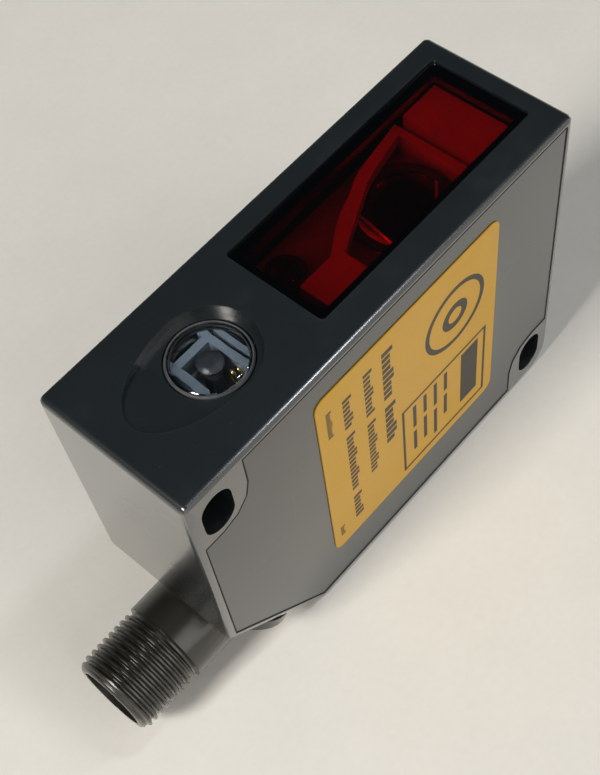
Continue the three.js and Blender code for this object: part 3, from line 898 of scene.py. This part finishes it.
class SENSOR_OT_plug(bpy.types.Operator):
    """Cut the helical thread of the plug and black its metal"""

    bl_idname = "sensor.plug"
    bl_label = "Swivel plug"

    def execute(self, context):
        metal = finish("plug_metal", settings().colours.plug, 0.40, metallic=0.3, drift=0.25,
                       grain=3600.0, depth=0.008 * MM, spread=0.07, ior=1.6, coat=0.7,
                       coat_roughness=0.26, wear=0.25, wear_colour=(0.06, 0.058, 0.048),
                       wear_width=0.3 * MM, dust=0.06)
        give(metal, "swivel_elbow")
        shell = self.thread(settings().sizes, metal)
        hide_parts("connector_shell")
        return {"FINISHED"}

    @staticmethod
    def thread(sizes, metal):
        """A tube whose outside is one helical thread that runs in and out smoothly."""
        axis_y = (SHELL_LOW.y + SHELL_HIGH.y) / 2
        axis_z = (SHELL_LOW.z + SHELL_HIGH.z) / 2
        crest = (SHELL_HIGH.z - SHELL_LOW.z) / 2
        root = crest - sizes.thread_depth
        bore = 4.45 * MM
        neck = 4.95 * MM
        neck_length = 2.5 * MM
        chamfer = 0.3 * MM
        crest_level = 1.55
        flank_slope = 4.2
        start = SHELL_LOW.x
        end = SHELL_HIGH.x - neck_length
        around = 96
        along = 150
        rings = []

        def fade(distance, length):
            """Rises from 0 to 1 over a length."""
            return min(1.0, max(0.0, distance / length))

        def thread_radius(x, turn):
            """Radius of the thread at a place along the axis and a part of a turn round it."""
            phase = ((x - start) / sizes.thread_pitch - turn) % 1.0
            ridge = min(1.0, max(0.0, crest_level - abs(phase - 0.5) * flank_slope))
            run_in = fade(x - start - 0.15 * MM, 0.9 * MM)
            run_out = fade(end - 0.55 * MM - x, 0.5 * MM)
            return root + (crest - root) * ridge * min(run_in, run_out)

        def ring(x, radius_at):
            """Adds a ring of points at x; radius_at gives the radius from the part of a turn."""
            made = []
            for j in range(around):
                turn = j / around
                radius = radius_at(turn)
                made.append(Vector((x, axis_y + radius * math.cos(2 * math.pi * turn),
                                    axis_z + radius * math.sin(2 * math.pi * turn))))
            rings.append(made)

        def plain_ring(x, radius):
            """Adds a round ring."""
            ring(x, lambda turn: radius)

        plain_ring(start, bore)
        plain_ring(start, root - chamfer)
        for i in range(along + 1):
            x = start + chamfer + (end - start - 2 * chamfer) * i / along
            ring(x, lambda turn, x=x: thread_radius(x, turn))
        collar = end - 0.02 * MM
        plain_ring(end - 0.25 * MM, root)
        plain_ring(collar, crest)
        plain_ring(collar, neck)
        plain_ring(SHELL_HIGH.x, neck)
        plain_ring(SHELL_HIGH.x, bore)
        points = [p for made in rings for p in made]
        faces = []
        for i in range(len(rings)):
            here, there = i * around, (i + 1) % len(rings) * around
            for j in range(around):
                n = (j + 1) % around
                faces.append((here + j, here + n, there + n, there + j))
        return mesh_object("plug_thread", points, faces, metal, "swivel_plug",
                           sharp=50.0)


def turned_to(place, target):
    """The rotation of a lamp or camera at a place that looks at a target."""
    return (Vector(target) - Vector(place)).to_track_quat("-Z", "Y")


def area_light(name, place, target, size, energy, colour, size_y=None):
    """A rectangular lamp, square unless size_y is given."""
    data = bpy.data.lights.new(name, "AREA")
    data.shape = "RECTANGLE"
    data.size = size
    data.size_y = size_y or size
    data.energy = energy
    data.color = colour
    lamp = bpy.data.objects.new(name, data)
    lamp.location = place
    lamp.rotation_mode = "QUATERNION"
    lamp.rotation_quaternion = turned_to(place, target)
    bpy.context.scene.collection.objects.link(lamp)


class SENSOR_OT_stage(bpy.types.Operator):
    """Set the floor, the soft light and the camera"""

    bl_idname = "sensor.stage"
    bl_label = "Floor, light and camera"

    FLOOR_GAP = 0.05 * MM
    HORIZON = (0.50, 0.49, 0.47)
    OVERHEAD = (0.028, 0.038, 0.045)
    WINDOW_MIDDLE = (0.014, 0, 0.044)
    SHIFT = (-0.0027, 0.0473)

    def execute(self, context):
        stage = settings().stage
        bpy.context.scene.view_settings.view_transform = "Standard"
        self.floor(stage)
        self.light()
        self.camera(stage)
        return {"FINISHED"}

    @classmethod
    def floor(cls, stage):
        """A pale table top just under the object."""
        half = stage.floor_size / 2
        cuts = stage.floor_cuts
        level = CAD_BOX[0][2] - cls.FLOOR_GAP
        points = [(-half + 2 * half * i / cuts, -half + 2 * half * j / cuts, level)
                  for j in range(cuts + 1) for i in range(cuts + 1)]
        row = cuts + 1
        faces = [(j * row + i, j * row + i + 1, (j + 1) * row + i + 1, (j + 1) * row + i)
                 for j in range(cuts) for i in range(cuts)]
        mesh = bpy.data.meshes.new("floor")
        mesh.from_pydata(points, [], faces)
        table = finish("table_top", (0.80, 0.775, 0.725), 0.5, drift=0.03, grain=900.0,
                       depth=0.02 * MM)
        mesh.materials.append(table)
        floor = bpy.data.objects.new("floor", mesh)
        bpy.context.scene.collection.objects.link(floor)

    @classmethod
    def light(cls):
        """A dim room, pale at the horizon and dark overhead, and the lamps in it."""
        world = bpy.data.worlds.new("dim_room")
        bpy.context.scene.world = world
        world.use_nodes = True
        tree = world.node_tree
        direction = node(tree, "ShaderNodeTexCoord").outputs["Generated"]
        height = remap(tree, split_axes(tree, direction)["Z"], 0.05, 0.42, smooth=True)
        tint = mix_colour(tree, height, rgba(cls.HORIZON), rgba(cls.OVERHEAD))
        tree.links.new(tint, tree.nodes["Background"].inputs["Color"])
        middle = (0, 0, 0)
        area_light("key", (-0.62, 0.03, 0.70), middle, 0.20, 5.9, (1.0, 0.965, 0.90))
        area_light("side", (-0.75, -0.45, 0.40), (0, 0, 0.02), 0.6, 0.6, (1.0, 0.96, 0.92))
        area_light("front", (0.10, -0.90, 0.62), middle, 0.9, 4.7, (1.0, 0.975, 0.93))
        area_light("overhead", (0.25, -0.13, 0.72), middle, 0.06, 0.60, (0.88, 0.94, 1.0))
        for name, place in (("strip_left", (-0.50, -0.05, 0.42)), ("strip_right", (0.42, -0.25, 0.50))):
            area_light(name, place, cls.WINDOW_MIDDLE, 0.012, 0.22, (1.0, 0.95, 0.9), size_y=0.1)

    @classmethod
    def camera(cls, stage):
        """The camera, turned to its aim and rolled about its line of sight."""
        data = bpy.data.cameras.new("camera")
        data.lens = stage.lens
        data.shift_x, data.shift_y = cls.SHIFT
        data.clip_start = 0.005
        camera = bpy.data.objects.new("camera", data)
        camera.location = stage.eye
        camera.rotation_mode = "QUATERNION"
        roll = Quaternion((0, 0, 1), stage.roll)
        camera.rotation_quaternion = turned_to(stage.eye, stage.aim) @ roll
        bpy.context.scene.collection.objects.link(camera)
        bpy.context.scene.camera = camera


class SENSOR_PT_panel(bpy.types.Panel):
    """Lists the sensor's pieces"""

    bl_idname = "SENSOR_PT_panel"
    bl_label = "Laser distance sensor"
    bl_space_type = "VIEW_3D"
    bl_region_type = "UI"
    bl_category = "Sensor"

    def draw(self, context):
        for step in STEPS:
            self.layout.operator(step.bl_idname)
        for group in (settings().sizes, settings().colours, settings().stage):
            box = self.layout.box()
            for key in group.bl_rna.properties.keys():
                if key not in ("rna_type", "name"):
                    box.prop(group, key)


STEPS = (
    SENSOR_OT_stage,
    SENSOR_OT_housing,
    SENSOR_OT_window,
    SENSOR_OT_button,
    SENSOR_OT_electronics,
    SENSOR_OT_label,
    SENSOR_OT_plug,
)
CLASSES = (SensorSizes, SensorColours, StageSettings, LaserSensor, *STEPS, SENSOR_PT_panel)


def register():
    """Registers the classes and the scene's settings."""
    for kind in CLASSES:
        bpy.utils.register_class(kind)
    bpy.types.Scene.laser_sensor = PointerProperty(type=LaserSensor)


def unregister():
    """Removes what register added."""
    del bpy.types.Scene.laser_sensor
    for kind in reversed(CLASSES):
        bpy.utils.unregister_class(kind)


def main():
    register()
    for step in STEPS:
        group, name = step.bl_idname.split(".")
        getattr(getattr(bpy.ops, group), name)()


if __name__ == "__main__":
    main()
